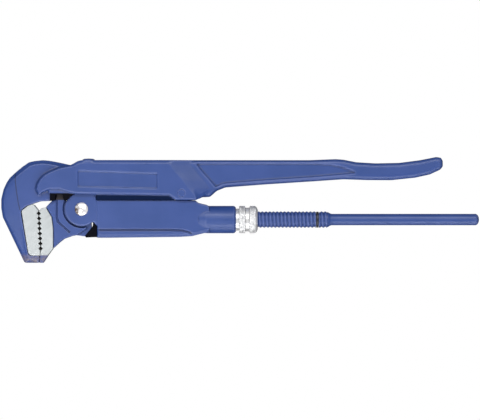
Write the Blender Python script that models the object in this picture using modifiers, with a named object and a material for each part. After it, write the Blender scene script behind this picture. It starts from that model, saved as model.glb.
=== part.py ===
"""A 90-degree Swedish-pattern pipe wrench, modelled as it comes apart on a bench.

The side profile is drawn in millimetres in a drafting frame: x runs from the hook to the
rod's end, y up from the rod's axis, z out of the tool's flat side.  The model is then set
down on its side, with its origin under the middle of its outline.
"""
import math

import bmesh
import bpy
from mathutils import Matrix, Vector

MM = 0.001

# ---- driving dimensions, mm ----------------------------------------------------------------
OVERALL_LENGTH = 420.0      # hook to rod end
CHANNEL_WIDTH = 28.0        # upper arm's channel, over both walls
CHANNEL_WALL = 3.9
CHANNEL_ROOF = 5.2
LIP_THICKNESS = 1.8         # inner lip along each wall that closes the gap over the frame
LIP_FRONT = 83.8
LIP_REAR = 152.0
HOOK_WIDTH = 16.0           # hook and moving jaw, across the teeth
HANDLE_WIDTH = 15.0         # upper handle, over its rims
HANDLE_WEB = 11.8           # thickness between the two shallow hollows
HANDLE_TOP = 52.2           # height of the arm's straight back above the rod's axis
HANDLE_REACH = 388.0        # hook to the end of the upper handle
DRAWN_REACH = 388.0         # the reach that the handle's outline is drawn at

ROD_RADIUS = 5.0
SHANK_RADIUS = 7.15         # over the thread crests
THREAD_END = 286.0          # where the full shank ends and the plain handle begins
STOP_RING_X = 276.8
STOP_RING_WIDTH = 2.0

ANCHOR_X = 158.5            # the rod's eye and cross pin
ANCHOR_Y = 23.2
ANCHOR_PIN_RADIUS = 2.9
NECK_BEND_RADIUS = 16.0
NECK_TURN = math.radians(75.0)

JAW_PIN_X = 70.8
JAW_PIN_Y = 9.2
JAW_PIN_RADIUS = 4.4
JAW_PIN_HEAD_HEIGHT = 2.2
TONGUE_WIDTH = 9.8
EAR_RADIUS = 14.8
EAR_TOP = 24.0
JAW_RECESS_RADIUS = 16.6

FRAME_BOTTOM = -16.0
FRAME_TOP = 17.4
CHEEK_THICKNESS = 2.0
WEB_FRONT = 84.6
WEB_THICKNESS = 4.0
SLOT_END = 178.6
COLLAR_START = 180.0
COLLAR_END = 206.3

NUT_START = 209.0
NUT_END = 225.4
NUT_SLOT_START = 214.6      # turned groove between the nut's two knurled bands
NUT_SLOT_END = 218.0
NUT_SLOT_DEPTH = 1.6
NUT_NECK_START = 199.0
RETAINER_X = 201.4
RETAINER_WIDTH = 1.4

GRIP_TOP = 5.3              # first and last tooth of the grip line
GRIP_BOTTOM = -31.4
NOSE_BOTTOM = -38.0
TOOTH_COUNT = 8
TOOTH_PITCH = 4.4
TOOTH_DEPTH = 1.7

SPRING_RIVET_X = 76.7
SPRING_RIVET_RADIUS = 2.6
SPRING_THICKNESS = 1.0

GAP = 0.3                   # between pieces that touch on the real tool
GRIP_GAP = 0.4              # between the closed jaws

# ---- sizes that follow from them -----------------------------------------------------------
CHANNEL_INSIDE = CHANNEL_WIDTH - 2 * CHANNEL_WALL
ROOF_UNDERSIDE = HANDLE_TOP - CHANNEL_ROOF
FRAME_WIDTH = CHANNEL_INSIDE - 2 * GAP
EAR_INNER = TONGUE_WIDTH / 2 + GAP
EAR_OUTER = FRAME_WIDTH / 2 - GAP
BORE_RADIUS = SHANK_RADIUS + GAP
FRAME_SLOT = 2 * BORE_RADIUS + 0.1      # trough that the rod's shank lies in
FRAME_FLOOR = -BORE_RADIUS - 0.55
NUT_NECK_RADIUS = BORE_RADIUS + 2.15
NUT_RADIUS = NUT_NECK_RADIUS + 2.45
COLLAR_RADIUS = NUT_RADIUS
EYE_RADIUS = SHANK_RADIUS - 0.35
EYE_CLEARANCE = SHANK_RADIUS + 2.85     # from the eye's middle to the channel's rear wall
JAW_PIN_HEAD_RADIUS = JAW_PIN_RADIUS + 1.8
SPRING_WIDTH = CHANNEL_INSIDE - 8.6
NECK_START_X = ANCHOR_X + NECK_BEND_RADIUS * math.sin(NECK_TURN) + (
    (ANCHOR_Y - NECK_BEND_RADIUS * (1 - math.cos(NECK_TURN))) / math.tan(NECK_TURN))
HANDLE_END_TOP = HANDLE_TOP + 2.8
ORIGIN = Vector((OVERALL_LENGTH / 2, (HANDLE_END_TOP + NOSE_BOTTOM) / 2, -CHANNEL_WIDTH / 2)) * MM


# ---- modelling helpers ---------------------------------------------------------------------
def arc(centre_x, centre_y, radius, start, end, steps):
    """Points of an arc from start to end, in degrees."""
    points = []
    for i in range(steps + 1):
        angle = math.radians(start + (end - start) * i / steps)
        points.append((centre_x + radius * math.cos(angle), centre_y + radius * math.sin(angle)))
    return points


def scaled(points):
    return [(x * MM, y * MM) for x, y in points]


def drawn_in(points, distance, closed=True):
    """Move each point of a clockwise outline inwards, square to the line through its neighbours."""
    moved = []
    count = len(points)
    for i, (x, y) in enumerate(points):
        before = points[i - 1] if closed or i > 0 else points[i]
        after = points[(i + 1) % count] if closed or i < count - 1 else points[i]
        along = Vector((after[0] - before[0], after[1] - before[1])).normalized()
        moved.append((x + along.y * distance, y - along.x * distance))
    return moved


def new_collection(name):
    collection = bpy.data.collections.new(name)
    bpy.context.scene.collection.children.link(collection)
    return collection


def add_object(name, mesh, collection):
    obj = bpy.data.objects.new(name, mesh)
    collection.objects.link(obj)
    return obj


def as_mesh(obj):
    """Replace an object by its evaluated mesh, with caps and seams welded and modifiers gone."""
    bpy.context.view_layer.update()
    evaluated = obj.evaluated_get(bpy.context.evaluated_depsgraph_get())
    mesh = bpy.data.meshes.new_from_object(evaluated)
    work = bmesh.new()
    work.from_mesh(mesh)
    bmesh.ops.remove_doubles(work, verts=work.verts, dist=1e-6)
    bmesh.ops.recalc_face_normals(work, faces=work.faces)
    work.to_mesh(mesh)
    work.free()
    name = obj.name
    matrix = obj.matrix_world.copy()
    collection = obj.users_collection[0]
    bpy.data.objects.remove(obj)
    result = add_object(name, mesh, collection)
    result.matrix_world = matrix
    return result


def plate(name, outline, low, high, collection, bevel=0.0):
    """A flat outline given a thickness from z = low to z = high, with chamfered rims."""
    curve = bpy.data.curves.new(name, "CURVE")
    curve.dimensions = "2D"
    curve.fill_mode = "BOTH"
    curve.extrude = (high - low) / 2 * MM - bevel * MM
    curve.bevel_depth = bevel * MM
    curve.bevel_resolution = 0
    curve.offset = -bevel * MM
    spline = curve.splines.new("POLY")
    points = scaled(outline)
    spline.points.add(len(points) - 1)
    for point, (x, y) in zip(spline.points, points):
        point.co = (x, y, 0.0, 1.0)
    spline.use_cyclic_u = True
    obj = bpy.data.objects.new(name, curve)
    obj.location = (0.0, 0.0, (low + high) / 2 * MM)
    collection.objects.link(obj)
    return as_mesh(obj)


def loft(name, sections, collection):
    """A solid through sections of equal point counts, each (outline, z)."""
    work = bmesh.new()
    rings = []
    for outline, z in sections:
        rings.append([work.verts.new((x, y, z * MM)) for x, y in scaled(outline)])
    for ring, above in zip(rings, rings[1:]):
        for i in range(len(ring)):
            j = (i + 1) % len(ring)
            work.faces.new((ring[i], ring[j], above[j], above[i]))
    work.faces.new(rings[0])
    work.faces.new(rings[-1])
    bmesh.ops.recalc_face_normals(work, faces=work.faces)
    bmesh.ops.triangulate(work, faces=[f for f in work.faces if len(f.verts) > 4])
    mesh = bpy.data.meshes.new(name)
    work.to_mesh(mesh)
    work.free()
    return add_object(name, mesh, collection)


def turned(name, profile, collection, steps=32):
    """A profile of (x, radius) turned about the rod's axis."""
    mesh = bpy.data.meshes.new(name)
    # the profile's far end is the top, so that its outer side runs down from there
    points = [(radius * MM, 0.0, x * MM) for x, radius in reversed(profile)]
    closed = profile[0][1] > 0.0
    edges = [(i, i + 1) for i in range(len(points) - 1)]
    if closed:
        edges.append((len(points) - 1, 0))
    mesh.from_pydata(points, edges, [])
    obj = add_object(name, mesh, collection)
    screw = obj.modifiers.new("turn", "SCREW")
    screw.axis = "Z"
    screw.steps = steps
    screw.render_steps = steps
    screw.use_merge_vertices = True
    screw.merge_threshold = 1e-6
    screw.use_smooth_shade = True
    obj.rotation_euler = (0.0, math.pi / 2, 0.0)
    return baked(as_mesh(obj))


def baked(obj):
    """Put the object's placement into its mesh, so that its origin is the drafting origin."""
    obj.data.transform(obj.matrix_world)
    obj.matrix_world = Matrix.Identity(4)
    return obj


def cylinder(name, x, y, radius, low, high, collection, segments=32):
    """A round bar across the tool, along z."""
    work = bmesh.new()
    bmesh.ops.create_cone(work, cap_ends=True, segments=segments, radius1=radius * MM,
                          radius2=radius * MM, depth=(high - low) * MM)
    bmesh.ops.translate(work, verts=work.verts, vec=Vector((x, y, (low + high) / 2)) * MM)
    mesh = bpy.data.meshes.new(name)
    work.to_mesh(mesh)
    work.free()
    return add_object(name, mesh, collection)


def box(name, low, high, collection):
    """A box between two corners."""
    work = bmesh.new()
    bmesh.ops.create_cube(work, size=1.0)
    size = Vector(high) - Vector(low)
    middle = (Vector(high) + Vector(low)) / 2
    bmesh.ops.scale(work, verts=work.verts, vec=size * MM)
    bmesh.ops.translate(work, verts=work.verts, vec=middle * MM)
    mesh = bpy.data.meshes.new(name)
    work.to_mesh(mesh)
    work.free()
    return add_object(name, mesh, collection)


def combine(obj, other, operation):
    """Add a Boolean of the exact solver; the other shape becomes a hidden guide."""
    modifier = obj.modifiers.new(operation.lower() + "_" + other.name, "BOOLEAN")
    modifier.operation = operation
    modifier.solver = "EXACT"
    modifier.object = other
    other.hide_render = True
    other.display_type = "WIRE"


def steel(name, colour, roughness, metallic):
    """A plain material: paint over forged steel, or bare steel."""
    material = bpy.data.materials.new(name)
    material.use_nodes = True
    shader = material.node_tree.nodes["Principled BSDF"]
    shader.inputs["Base Color"].default_value = (*colour, 1.0)
    shader.inputs["Roughness"].default_value = roughness
    shader.inputs["Metallic"].default_value = metallic
    return material


def finish(obj, material):
    """Give a piece its material and shade its round stretches smooth."""
    obj.data.materials.clear()
    obj.data.materials.append(material)
    obj.data.shade_smooth()
    obj.data.set_sharp_from_angle(angle=math.radians(32.0))
    return obj


# ---- outlines ------------------------------------------------------------------------------
def grip_x(y):
    """The line on which the closed jaws meet: it leans towards the nose, then turns back."""
    knee = -25.3
    if y > knee:
        return 33.2 + 1.7 * (GRIP_TOP - y) / (GRIP_TOP - knee)
    return 34.9 - 1.3 * (knee - y) / (knee - NOSE_BOTTOM)


def toothed_edge(side):
    """The grip line of one jaw from top to bottom; side is -1 on the hook, +1 on the jaw."""
    points = [(grip_x(GRIP_TOP + 2.3) + side * GRIP_GAP / 2, GRIP_TOP + 2.3)]
    half_mouth = 1.7
    for i in range(TOOTH_COUNT):
        y = GRIP_TOP + 0.1 - i * TOOTH_PITCH
        face = side * GRIP_GAP / 2
        points.append((grip_x(y + half_mouth) + face, y + half_mouth))
        points.append((grip_x(y) + face + side * TOOTH_DEPTH, y))
        points.append((grip_x(y - half_mouth) + face, y - half_mouth))
    points.append((grip_x(GRIP_BOTTOM) + side * GRIP_GAP / 2, GRIP_BOTTOM))
    return points


def hook_pocket():
    """The seat that the hook's toothed insert lies in, from the throat down to the nose."""
    return [(28.9, 14.2), (22.0, 11.6), (17.6, 8.0), (17.6, 5.8), (23.4, -28.9),
            (24.4, -31.0), (26.2, GRIP_BOTTOM - GAP)]


def hook_outline():
    nose = grip_x(NOSE_BOTTOM) - GRIP_GAP / 2
    seat = hook_pocket()
    back = [(1.3, 2.2), (0.0, 10.1), (0.0, 18.0), (2.0, 26.5), (4.75, 32.5), (7.4, 36.5), (12.8, 41.6),
            (18.9, 46.6), (24.3, 50.3), (28.9, 51.4), (36.7, 52.2), (42.5, 51.7), (51.5, 50.0),
            (61.8, 47.7), (70.0, 46.0)]
    throat = [(70.0, 40.0), (46.0, 32.0), (44.2, 24.0), (44.2, 16.4), (34.4, 16.0)]
    foot = [(grip_x(GRIP_BOTTOM) - GRIP_GAP / 2, GRIP_BOTTOM - GAP), (nose, NOSE_BOTTOM),
            (20.9, NOSE_BOTTOM), (19.8, -36.5)]
    return back + throat + seat + foot


def hook_crease(width):
    """The line down the hook's face where its outer facet begins."""
    line = [(12.2, 41.0), (12.5, 33.0), (13.6, 24.0), (15.0, 15.0), (16.6, 8.2)]
    right = [(x + width, y) for x, y in reversed(line)]
    return line + right


HOOK_BACK_POINTS = 15
HOOK_FOOT_POINTS = 2


def hook_shoulder_outline():
    """The hook's outline with its back and foot drawn in by the outer chamfer."""
    outline = hook_outline()
    back = drawn_in(outline[:HOOK_BACK_POINTS], 2.7, closed=False)
    foot = [(22.6, NOSE_BOTTOM + 2.2), (21.9, -35.0)]
    return back + outline[HOOK_BACK_POINTS:-HOOK_FOOT_POINTS] + foot


def hook_face_outline():
    """The same points drawn in further, to the crease between the outer facet and the face."""
    crease = [(17.1, 3.0), (16.3, 10.1), (14.6, 18.0), (13.2, 26.5), (12.6, 32.5), (12.4, 36.5),
              (16.2, 39.8), (21.4, 43.8), (25.6, 46.9), (29.6, 48.3), (36.7, 49.2), (42.5, 48.7),
              (51.5, 47.2), (61.8, 45.2), (70.0, 44.6)]
    outline = hook_outline()
    foot = [(25.2, NOSE_BOTTOM + 3.4), (24.2, -33.6)]
    return crease + outline[HOOK_BACK_POINTS:-HOOK_FOOT_POINTS] + foot


def channel_outline(level):
    """The wide body that carries the channel: leaf-shaped in front, sloped to the handle behind.

    level is "face" at the flat side, "shoulder" below its chamfer, "foot" where the slope ends.
    """
    chamfer = 1.2 if level == "face" else 0.0
    drop = 2.7 if level == "face" else 0.0
    leaf = [(33.3, 21.7), (31.0, 26.5), (31.7, 30.8), (34.0, 35.2), (37.4, 38.9), (42.5, 42.0),
            (51.5, 45.7), (60.3, 47.4), (63.8, 49.1), (67.5, 51.3), (71.1, HANDLE_TOP)]
    leaf = drawn_in(leaf, chamfer, closed=False)
    leaf[-3:] = [(x, y - drop + chamfer) for x, y in leaf[-3:]]
    slopes = {"face": 0.0, "shoulder": 5.0, "foot": 20.0}
    reach = slopes[level]
    crease = [(146.0, HANDLE_TOP - drop), (149.0, 47.5), (153.3, 41.8), (159.8, 34.5), (164.9, 27.2)]
    rear = [(x + reach * 1.1, y) for x, y in crease]
    bottom = FRAME_TOP - GAP + chamfer
    rear += [(169.7 + reach * 0.6, 22.1), (171.5, bottom)]
    lower = [(153.4, bottom), (147.7, 21.1 + chamfer), (67.2, 22.3 + chamfer),
             (60.2, 23.3 + chamfer), (51.5, 26.4 + chamfer), (42.5, 26.1 + chamfer),
             (36.7, 24.2 + chamfer * 0.6)]
    return leaf + rear + lower


def void_outline():
    """The hollow between the channel's walls, open below; its rear follows the rod's eye."""
    front = [(66.0, ROOF_UNDERSIDE), (58.0, 43.0), (47.0, 38.0), (42.5, 33.5), (42.5, 27.0),
             (44.9, 17.0), (44.9, 10.0)]
    clear = EYE_RADIUS + 2 * GAP
    wall = ANCHOR_X + EYE_CLEARANCE
    neck_side = [(wall, 10.0), (wall, 17.6), (wall - 1.4, 20.6)]
    eye = arc(ANCHOR_X, ANCHOR_Y, clear + 0.6, 0.0, 90.0, 8)
    rear = [(ANCHOR_X - 3.0, ANCHOR_Y + clear + 3.0), (145.0, 38.0), (140.0, ROOF_UNDERSIDE)]
    return front + neck_side + eye + rear


def front_lip_outline():
    """The lip over the jaw's heel, cut away where the heel shows."""
    return [(42.6, 27.6), (64.8, 26.4), (64.6, 22.3), (61.6, 20.2), (59.4, 17.9), (57.6, 16.5),
            (54.9, 16.5), (54.9, 22.0), (48.2, 22.0), (48.2, 16.7), (44.2, 16.2), (42.6, 16.8)]


def handle_outline():
    """The upper handle, from inside the channel's body to its flared end."""
    shift = HANDLE_REACH - DRAWN_REACH
    top = [(140.0, HANDLE_TOP), (271.0, HANDLE_TOP), (286.0, HANDLE_TOP + 0.6),
           (293.8, HANDLE_TOP + 0.9), (300.8, HANDLE_TOP + 0.4), (311.8, HANDLE_TOP - 1.8),
           (328.9, HANDLE_TOP - 2.8), (349.6, HANDLE_TOP - 2.4)]
    end = [(368.1, HANDLE_TOP), (382.2, HANDLE_END_TOP), (386.4, HANDLE_TOP + 2.1),
           (388.0, HANDLE_TOP - 0.7), (388.0, 46.6), (385.7, 43.8), (376.6, 39.6), (363.9, 36.8)]
    bottom = [(342.9, 34.6), (321.8, 34.7), (300.8, 35.4), (272.8, 33.5), (230.7, 30.8),
              (197.0, 28.2), (189.4, 25.2), (183.4, 19.9), (172.7, 19.4), (166.0, 21.0),
              (150.0, 38.0), (140.0, 40.0)]
    return top + [(x + shift, y) for x, y in end] + bottom


def handle_hollow():
    """The shallow flat between the handle's rims; it runs out to a point before the grip."""
    rim = 2.9
    shift = HANDLE_REACH - DRAWN_REACH
    top = [(170.5, HANDLE_TOP - rim), (271.0, HANDLE_TOP - rim), (288.0, HANDLE_TOP - rim - 0.6),
           (300.0 + shift, 46.3), (308.0 + shift, 43.0), (313.0 + shift, 40.8)]
    bottom = [(301.0 + shift, 39.6), (285.0, 38.2), (272.5, 37.1), (230.5, 34.4), (199.0, 31.8),
              (194.0, 31.0), (188.6, 28.2), (183.0, 34.8), (176.5, 42.0), (172.4, 47.4)]
    return top + bottom


def jaw_outline():
    """The moving jaw's full-width body behind its toothed block, with the heel above."""
    return [(39.6, 11.2), (41.0, 12.6), (44.9, 16.6), (48.0, 17.0), (48.5, 20.0), (49.6, 33.0),
            (55.0, 33.0), (55.2, 20.0), (56.4, 17.0), (62.0, 12.0), (JAW_PIN_X, JAW_PIN_Y),
            (75.4, -7.6), (67.0, -13.6), (62.5, -14.5), (55.4, -17.0), (51.5, -20.1), (46.1, -25.0),
            (46.1, -7.9), (44.9, 2.0)]


def tongue_outline():
    """The thin middle of the jaw: round the pin, then down to the tail behind the frame's web."""
    tail = WEB_FRONT - 5.9
    below = [(tail + 1.0, -9.0), (tail, FRAME_BOTTOM + 0.4), (67.0, -13.9), (60.0, -13.0), (58.0, 8.0)]
    return arc(JAW_PIN_X, JAW_PIN_Y, 11.8, 160.0, -46.0, 24) + below


def jaw_valley():
    """The sunk line on the jaw's side between its flat and the raised rim round the ear."""
    return [(48.3, 18.0), (49.9, 18.0), (50.0, 2.0), (51.2, -1.8), (61.0, -10.6), (59.8, -11.9),
            (49.4, -2.4), (48.2, 1.6)]


def jaw_insert_outline():
    """The jaw's hardened front, from the throat down to the tip of the nose."""
    nose = grip_x(NOSE_BOTTOM) + GRIP_GAP / 2
    return toothed_edge(1) + [(nose, NOSE_BOTTOM), (37.0, NOSE_BOTTOM), (41.9, -30.6), (45.8, -25.3),
                              (45.8, -7.9), (44.6, 1.9), (39.4, 10.7), (35.6, 10.1)]


def frame_outline(level):
    """The lower frame's body in profile; at the "face" its lower rim is drawn in by a round."""
    rise = 2.6 if level == "face" else 0.0
    trim = 0.6 if level == "face" else 0.0
    return [(WEB_FRONT, FRAME_TOP - trim), (152.0, FRAME_TOP - 0.1 - trim),
            (170.5, FRAME_TOP - 0.4 - trim), (173.0, 14.9 - trim), (181.0, 12.8 - trim),
            (182.5, 11.0), (182.5, -11.0 + rise), (179.6, -11.6 + rise), (167.6, -14.6 + rise),
            (157.0, -15.2 + rise), (96.0, FRAME_BOTTOM + rise), (WEB_FRONT + trim * 2, FRAME_BOTTOM + rise)]


def frame_groove():
    """The line that sets off the rounded lower rim of the frame's side."""
    return [(WEB_FRONT - 1.0, -8.1), (150.0, -8.1), (160.0, -8.8), (166.6, -10.8), (169.4, -13.6),
            (166.6, -13.8), (164.4, -11.8), (159.0, -10.6), (150.0, -10.2), (WEB_FRONT - 1.0, -10.2)]


def ear_outline():
    """An ear: round about the jaw pin in front, reaching up into the channel."""
    low = arc(JAW_PIN_X, JAW_PIN_Y, EAR_RADIUS, 90.0, 312.0, 26)
    return low + [(WEB_FRONT + 0.5, -6.0), (WEB_FRONT + 2.0, -6.0), (WEB_FRONT + 2.0, 15.0),
                  (WEB_FRONT - 1.0, FRAME_TOP), (WEB_FRONT - 1.2, EAR_TOP)]


def cheek_outline():
    """The thin cheek below an ear that closes the frame's front beside the jaw's tail."""
    return [(WEB_FRONT - 4.3, -6.2), (WEB_FRONT - 3.5, -1.2), (WEB_FRONT + 1.0, -2.6),
            (WEB_FRONT + 1.0, FRAME_BOTTOM + 0.6),
            (WEB_FRONT - 10.0, FRAME_BOTTOM + 0.2), (WEB_FRONT - 11.0, FRAME_BOTTOM + 1.6)]


# ---- pieces --------------------------------------------------------------------------------
def mirrored_loft(name, levels, collection):
    """A loft that is the same on both flat sides; levels run from the flat side to the middle."""
    low = [(outline, -z) for outline, z in levels]
    high = [(outline, z) for outline, z in reversed(levels)]
    return loft(name, low + high, collection)


def make_upper_arm(parts, guides, material):
    """Hook, channel and handle in one forging."""
    half = CHANNEL_WIDTH / 2
    hook_half = HOOK_WIDTH / 2
    hook = [(hook_face_outline(), hook_half), (hook_shoulder_outline(), hook_half - 1.3),
            (hook_outline(), hook_half - 4.0)]
    arm = mirrored_loft("upper_arm", hook, parts)
    body = [(channel_outline("face"), half), (channel_outline("shoulder"), half - 1.9),
            (channel_outline("foot"), HANDLE_WEB / 2)]
    combine(arm, mirrored_loft("channel_body", body, guides), "UNION")
    handle_half = HANDLE_WIDTH / 2
    handle = [(drawn_in(handle_outline(), 2.9), handle_half),
              (drawn_in(handle_outline(), 1.2), handle_half - 1.1),
              (handle_outline(), handle_half - 3.4)]
    combine(arm, mirrored_loft("handle_body", handle, guides), "UNION")
    inside = CHANNEL_INSIDE / 2
    combine(arm, plate("channel_void", void_outline(), -inside, inside, guides), "DIFFERENCE")
    passage = box("frame_passage", (140.0, 5.0, -inside), (178.0, FRAME_TOP + 2 * GAP, inside), guides)
    combine(arm, passage, "DIFFERENCE")
    for side in (-1, 1):
        low, high = sorted((side * HANDLE_WEB / 2, side * (handle_half + 0.3)))
        combine(arm, plate(f"hollow_{side}", handle_hollow(), low, high, guides), "DIFFERENCE")
        low, high = sorted((side * (half - 0.8), side * (half + 1.0)))
        panel = [(67.3, 28.4), (137.7, 26.8), (137.7, 40.7), (67.3, 43.1)]
        combine(arm, plate(f"panel_{side}", panel, low, high, guides), "DIFFERENCE")
        low, high = sorted((side * inside, side * (inside + LIP_THICKNESS)))
        lip = box(f"lip_{side}", (LIP_FRONT, FRAME_TOP - GAP, low), (LIP_REAR, 26.0, high), guides)
        combine(arm, lip, "UNION")
        combine(arm, plate(f"front_lip_{side}", front_lip_outline(), low, high, guides), "UNION")
        combine(arm, oval_boss(f"boss_{side}", side * (half - 2.2), guides), "UNION")
        low, high = sorted((side * (hook_half - 0.7), side * (hook_half + 1.0)))
        combine(arm, plate(f"crease_{side}", hook_crease(0.9), low, high, guides), "DIFFERENCE")
    bore = ANCHOR_PIN_RADIUS + GAP
    combine(arm, cylinder("anchor_bore", ANCHOR_X, ANCHOR_Y, bore, -half - 1, half + 1, guides, 24),
            "DIFFERENCE")
    rivet = cylinder("rivet_bore", 0.0, 0.0, SPRING_RIVET_RADIUS + GAP, -20.0, 20.0, guides, 24)
    rivet.rotation_euler = (math.pi / 2, 0.0, 0.0)
    rivet.location = (SPRING_RIVET_X * MM, HANDLE_TOP * MM, 0.0)
    combine(arm, rivet, "DIFFERENCE")
    return finish(as_mesh(arm), material)


def oval_boss(name, z, collection):
    """A flattened dome on the shoulder of the channel's back, beside the spring's rivet."""
    work = bmesh.new()
    bmesh.ops.create_uvsphere(work, u_segments=28, v_segments=14, radius=1.0)
    bmesh.ops.scale(work, verts=work.verts, vec=Vector((6.6, 2.65, 2.1)) * MM)
    centre = Vector((SPRING_RIVET_X, HANDLE_TOP - 1.9, z)) * MM
    bmesh.ops.translate(work, verts=work.verts, vec=centre)
    mesh = bpy.data.meshes.new(name)
    work.to_mesh(mesh)
    work.free()
    return add_object(name, mesh, collection)


def make_hook_insert(parts, material):
    """The hook's hardened block, with teeth across the grip line."""
    half = HOOK_WIDTH / 2
    seat = [(18.2, 6.2), (18.3, 7.8), (22.4, 11.2), (27.6, 13.3), (29.2, 12.6), (32.6, 8.4)]
    foot = [(26.4, GRIP_BOTTOM), (24.9, -30.6), (23.8, -28.8)]
    block = plate("hook_insert", seat + toothed_edge(-1) + foot, -half, half, parts, 0.25)
    return finish(block, material)


def make_jaw_insert(parts, material):
    """The moving jaw's hardened block, which runs on down to the nose."""
    half = HOOK_WIDTH / 2
    return finish(plate("jaw_insert", jaw_insert_outline(), -half, half, parts, 0.25), material)


def make_moving_jaw(parts, guides, material):
    """Jaw body: full width in front, cut back round the ears to a tongue on the pin."""
    half = HOOK_WIDTH / 2
    jaw = mirrored_loft("moving_jaw", [(drawn_in(jaw_outline(), 0.8), half), (jaw_outline(), half - 0.9)],
                        parts)
    for side in (-1, 1):
        low, high = sorted((side * TONGUE_WIDTH / 2, side * (half + 1.0)))
        recess = cylinder(f"ear_recess_{side}", JAW_PIN_X, JAW_PIN_Y, JAW_RECESS_RADIUS, low, high,
                          guides, 64)
        combine(jaw, recess, "DIFFERENCE")
        low, high = sorted((side * (half - 1.3), side * (half + 1.0)))
        combine(jaw, plate(f"valley_{side}", jaw_valley(), low, high, guides), "DIFFERENCE")
    tongue_half = TONGUE_WIDTH / 2
    tongue = plate("tongue", tongue_outline(), -tongue_half, tongue_half, guides)
    combine(jaw, tongue, "UNION")
    bore = cylinder("jaw_bore", JAW_PIN_X, JAW_PIN_Y, JAW_PIN_RADIUS + GAP, -half - 1.0, half + 1.0,
                    guides, 32)
    combine(jaw, bore, "DIFFERENCE")
    return finish(as_mesh(jaw), material)


def make_lower_frame(parts, guides, material):
    """Ears, trough and collar in one forging that slides along the rod."""
    half = FRAME_WIDTH / 2
    levels = [(frame_outline("face"), half), (frame_outline("body"), half - 1.7)]
    frame = mirrored_loft("lower_frame", levels, parts)
    for side in (-1, 1):
        low, high = sorted((side * EAR_INNER, side * EAR_OUTER))
        combine(frame, plate(f"ear_{side}", ear_outline(), low, high, guides, 0.4), "UNION")
        low, high = sorted((side * EAR_INNER, side * (EAR_INNER + CHEEK_THICKNESS)))
        combine(frame, plate(f"cheek_{side}", cheek_outline(), low, high, guides), "UNION")
        low, high = sorted((side * (half - 1.4), side * (half + 1.0)))
        combine(frame, plate(f"groove_{side}", frame_groove(), low, high, guides), "DIFFERENCE")
    collar = [(COLLAR_START - 6.0, 0.0), (COLLAR_START - 6.0, COLLAR_RADIUS - 1.6),
              (COLLAR_START, COLLAR_RADIUS), (COLLAR_END - 1.6, COLLAR_RADIUS),
              (COLLAR_END, COLLAR_RADIUS - 1.6), (COLLAR_END, 0.0)]
    combine(frame, turned("collar", collar, guides, 48), "UNION")
    slot = FRAME_SLOT / 2
    trough_front = WEB_FRONT + WEB_THICKNESS
    trough = box("trough", (trough_front, FRAME_FLOOR, -slot), (SLOT_END, 30.0, slot), guides)
    combine(frame, trough, "DIFFERENCE")
    groove = RETAINER_WIDTH / 2 + GAP
    bore = [(SLOT_END - 8.0, 0.0), (SLOT_END - 8.0, BORE_RADIUS), (NUT_NECK_START - GAP, BORE_RADIUS),
            (NUT_NECK_START - GAP, NUT_NECK_RADIUS + GAP), (RETAINER_X - groove, NUT_NECK_RADIUS + GAP),
            (RETAINER_X - groove, NUT_NECK_RADIUS + 1.3), (RETAINER_X + groove, NUT_NECK_RADIUS + 1.3),
            (RETAINER_X + groove, NUT_NECK_RADIUS + GAP), (COLLAR_END + 4.0, NUT_NECK_RADIUS + GAP),
            (COLLAR_END + 4.0, 0.0)]
    combine(frame, turned("collar_bore", bore, guides, 40), "DIFFERENCE")
    pin = cylinder("frame_pin_bore", JAW_PIN_X, JAW_PIN_Y, JAW_PIN_RADIUS + GAP, -half - 1.0, half + 1.0,
                   guides, 32)
    combine(frame, pin, "DIFFERENCE")
    return finish(as_mesh(frame), material)


def make_jaw_pin(parts, material):
    """The bright rivet that the moving jaw turns on, domed at both ends."""
    reach = EAR_OUTER + GAP
    dome = []
    rise = JAW_PIN_HEAD_HEIGHT
    sphere = (JAW_PIN_HEAD_RADIUS ** 2 + rise ** 2) / (2 * rise)
    steps = 5
    for i in range(steps + 1):
        radius = JAW_PIN_HEAD_RADIUS * i / steps
        dome.append((reach + rise - sphere + math.sqrt(sphere ** 2 - radius ** 2), radius))
    right = dome + [(reach, JAW_PIN_RADIUS)]
    left = [(-x, radius) for x, radius in right]
    pin = turned("jaw_pin", left + right[::-1], parts, 32)
    pin.data.transform(Matrix.Rotation(-math.pi / 2, 4, "Y"))
    pin.data.transform(Matrix.Translation(Vector((JAW_PIN_X, JAW_PIN_Y, 0.0)) * MM))
    return finish(pin, material)


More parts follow.
